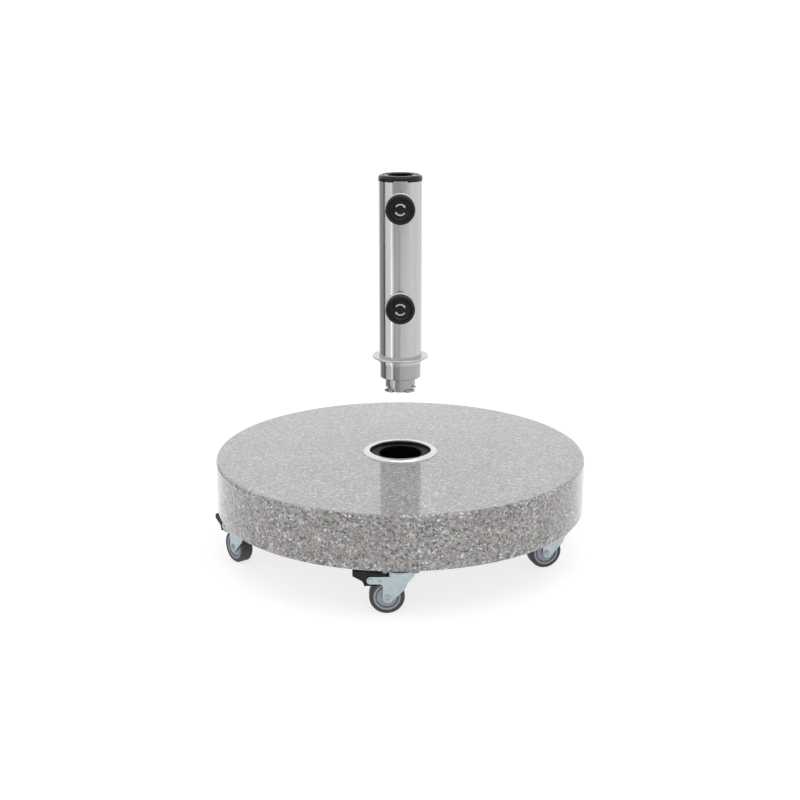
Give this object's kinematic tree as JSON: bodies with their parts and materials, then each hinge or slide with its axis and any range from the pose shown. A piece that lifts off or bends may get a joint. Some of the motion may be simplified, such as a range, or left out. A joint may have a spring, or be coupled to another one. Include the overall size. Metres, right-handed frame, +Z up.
{
  "type": "parasol base",
  "caption": "Round polished granite parasol base on braked swivel castors, with a stainless lift-out stem that locks by a bayonet and clamps a pole with hand screws.",
  "frame": {"origin": "on the stem's axis at floor level, where the wheels touch the ground", "axes": "+Z up along the stem, -Y towards the clamp knobs"},
  "size_m": [0.6027, 0.6, 0.6168],
  "materials": {
    "granite": "polished speckled granite, grey and faintly pink with pale, dark and greenish grains",
    "brushed_steel": "stainless, brushed lengthwise",
    "polished_steel": "stainless, fine turned",
    "cast_steel": "turned stainless, duller",
    "zinc_steel": "zinc plated, pale blue-grey",
    "plated_steel": "plated",
    "brass": "plain",
    "black_gloss_plastic": "gloss",
    "black_plastic": "satin",
    "pedal_plastic": "matte, moulded",
    "wheel_plastic": "matte grey",
    "tyre": "soft grey rubber",
    "nylon": "natural nylon"
  },
  "bodies": {
    "base": {"granite_slab": "granite", "socket_trim_ring": "polished_steel", "socket_liner": "black_gloss_plastic", "bayonet_ring": "plated_steel", "bayonet_screws": "plated_steel", "socket_bottom_plate": "plated_steel", "bottom_plate_screws": "plated_steel", "slab_inserts": "brass", "caster_bolts": "plated_steel", "caster_plates": "zinc_steel", "kingpins": "zinc_steel", "swivel_races": "nylon"},
    "pole_rest": {"pole_rest_plug": "black_plastic"},
    "stem": {"stem_tube": "brushed_steel", "guide_sleeve": "brushed_steel", "bayonet_spigot": "cast_steel", "spigot_rivets": "plated_steel", "flange_ring": "polished_steel", "top_collar": "black_plastic", "clamp_bosses": "polished_steel"},
    "lower_pad": {"lower_clamp_pad": "nylon"},
    "lower_screw": {"lower_clamp_screw": "plated_steel", "lower_knob": "black_plastic", "lower_knob_cap": "black_gloss_plastic"},
    "upper_pad": {"upper_clamp_pad": "nylon"},
    "upper_screw": {"upper_clamp_screw": "plated_steel", "upper_knob": "black_plastic", "upper_knob_cap": "black_gloss_plastic"},
    "caster_1_fork": {"caster_1_fork": "zinc_steel", "caster_1_axle": "plated_steel", "caster_1_pedal_pin": "zinc_steel"},
    "caster_1_wheel": {"caster_1_wheel_core": "wheel_plastic", "caster_1_tyre": "tyre"},
    "caster_1_pedal": {"caster_1_brake_pedal": "pedal_plastic"},
    "caster_2_fork": {"caster_2_fork": "zinc_steel", "caster_2_axle": "plated_steel", "caster_2_pedal_pin": "zinc_steel"},
    "caster_2_wheel": {"caster_2_wheel_core": "wheel_plastic", "caster_2_tyre": "tyre"},
    "caster_2_pedal": {"caster_2_brake_pedal": "pedal_plastic"},
    "caster_3_fork": {"caster_3_fork": "zinc_steel", "caster_3_axle": "plated_steel", "caster_3_pedal_pin": "zinc_steel"},
    "caster_3_wheel": {"caster_3_wheel_core": "wheel_plastic", "caster_3_tyre": "tyre"},
    "caster_3_pedal": {"caster_3_brake_pedal": "pedal_plastic"},
    "caster_4_fork": {"caster_4_fork": "zinc_steel", "caster_4_axle": "plated_steel", "caster_4_pedal_pin": "zinc_steel"},
    "caster_4_wheel": {"caster_4_wheel_core": "wheel_plastic", "caster_4_tyre": "tyre"},
    "caster_4_pedal": {"caster_4_brake_pedal": "pedal_plastic"},
    "caster_5_fork": {"caster_5_fork": "zinc_steel", "caster_5_axle": "plated_steel", "caster_5_pedal_pin": "zinc_steel"},
    "caster_5_wheel": {"caster_5_wheel_core": "wheel_plastic", "caster_5_tyre": "tyre"},
    "caster_5_pedal": {"caster_5_brake_pedal": "pedal_plastic"}
  },
  "joints": [
    {"name": "stem_lift", "type": "slide", "parent": "base", "child": "pole_rest", "axis": [0, 0, 1], "range_m": [-0.1619, 0]},
    {"name": "stem_twist", "type": "hinge", "parent": "pole_rest", "child": "stem", "pos_m": [0, 0, 0.3], "axis": [0, 0, 1], "range_deg": [-45, 0]},
    {"name": "lower_clamp_travel", "type": "slide", "parent": "stem", "child": "lower_pad", "axis": [0, 1, 0], "range_m": [-0.006, 0]},
    {"name": "lower_knob_turn", "type": "hinge", "parent": "lower_pad", "child": "lower_screw", "pos_m": [0, -0.045, 0.4126], "axis": [0, 1, 0], "range_deg": [-1440, 0]},
    {"name": "upper_clamp_travel", "type": "slide", "parent": "stem", "child": "upper_pad", "axis": [0, 1, 0], "range_m": [-0.006, 0]},
    {"name": "upper_knob_turn", "type": "hinge", "parent": "upper_pad", "child": "upper_screw", "pos_m": [0, -0.045, 0.5682], "axis": [0, 1, 0], "range_deg": [-1440, 0]},
    {"name": "caster_1_swivel", "type": "hinge", "parent": "base", "child": "caster_1_fork", "pos_m": [0, -0.262, 0.07], "axis": [0, 0, 1], "continuous": true},
    {"name": "caster_1_roll", "type": "hinge", "parent": "caster_1_fork", "child": "caster_1_wheel", "pos_m": [-0.01999, -0.2627, 0.0265], "axis": [0.0349, -0.9994, 0], "continuous": true},
    {"name": "caster_1_brake", "type": "hinge", "parent": "caster_1_fork", "child": "caster_1_pedal", "pos_m": [-0.04447, -0.26355, 0.0543], "axis": [0.0349, -0.9994, 0], "range_deg": [0, 12]},
    {"name": "caster_2_swivel", "type": "hinge", "parent": "base", "child": "caster_2_fork", "pos_m": [-0.24918, -0.08096, 0.07], "axis": [0, 0, 1], "continuous": true},
    {"name": "caster_2_roll", "type": "hinge", "parent": "caster_2_fork", "child": "caster_2_wheel", "pos_m": [-0.26149, -0.0652, 0.0265], "axis": [-0.788, -0.6157, 0], "continuous": true},
    {"name": "caster_2_brake", "type": "hinge", "parent": "caster_2_fork", "child": "caster_2_pedal", "pos_m": [-0.27657, -0.0459, 0.0543], "axis": [-0.788, -0.6157, 0], "range_deg": [0, 12]},
    {"name": "caster_3_swivel", "type": "hinge", "parent": "base", "child": "caster_3_fork", "pos_m": [0.24918, -0.08096, 0.07], "axis": [0, 0, 1], "continuous": true},
    {"name": "caster_3_roll", "type": "hinge", "parent": "caster_3_fork", "child": "caster_3_wheel", "pos_m": [0.23016, -0.08714, 0.0265], "axis": [0.309, -0.9511, 0], "continuous": true},
    {"name": "caster_3_brake", "type": "hinge", "parent": "caster_3_fork", "child": "caster_3_pedal", "pos_m": [0.20686, -0.09471, 0.0543], "axis": [0.309, -0.9511, 0], "range_deg": [0, 12]},
    {"name": "caster_4_swivel", "type": "hinge", "parent": "base", "child": "caster_4_fork", "pos_m": [0.154, 0.21196, 0.07], "axis": [0, 0, 1], "continuous": true},
    {"name": "caster_4_roll", "type": "hinge", "parent": "caster_4_fork", "child": "caster_4_wheel", "pos_m": [0.164, 0.19464, 0.0265], "axis": [0.866, 0.5, 0], "continuous": true},
    {"name": "caster_4_brake", "type": "hinge", "parent": "caster_4_fork", "child": "caster_4_pedal", "pos_m": [0.17625, 0.17342, 0.0543], "axis": [0.866, 0.5, 0], "range_deg": [0, 12]},
    {"name": "caster_5_swivel", "type": "hinge", "parent": "base", "child": "caster_5_fork", "pos_m": [-0.154, 0.21196, 0.07], "axis": [0, 0, 1], "continuous": true},
    {"name": "caster_5_roll", "type": "hinge", "parent": "caster_5_fork", "child": "caster_5_wheel", "pos_m": [-0.17038, 0.20049, 0.0265], "axis": [0.5736, -0.8192, 0], "continuous": true},
    {"name": "caster_5_brake", "type": "hinge", "parent": "caster_5_fork", "child": "caster_5_pedal", "pos_m": [-0.19045, 0.18644, 0.0543], "axis": [0.5736, -0.8192, 0], "range_deg": [0, 12]}
  ],
  "couplings": [
    {"joint": "lower_clamp_travel", "follows": "lower_knob_turn", "m_per_rad": 0.00023873},
    {"joint": "upper_clamp_travel", "follows": "upper_knob_turn", "m_per_rad": 0.00023873}
  ]
}
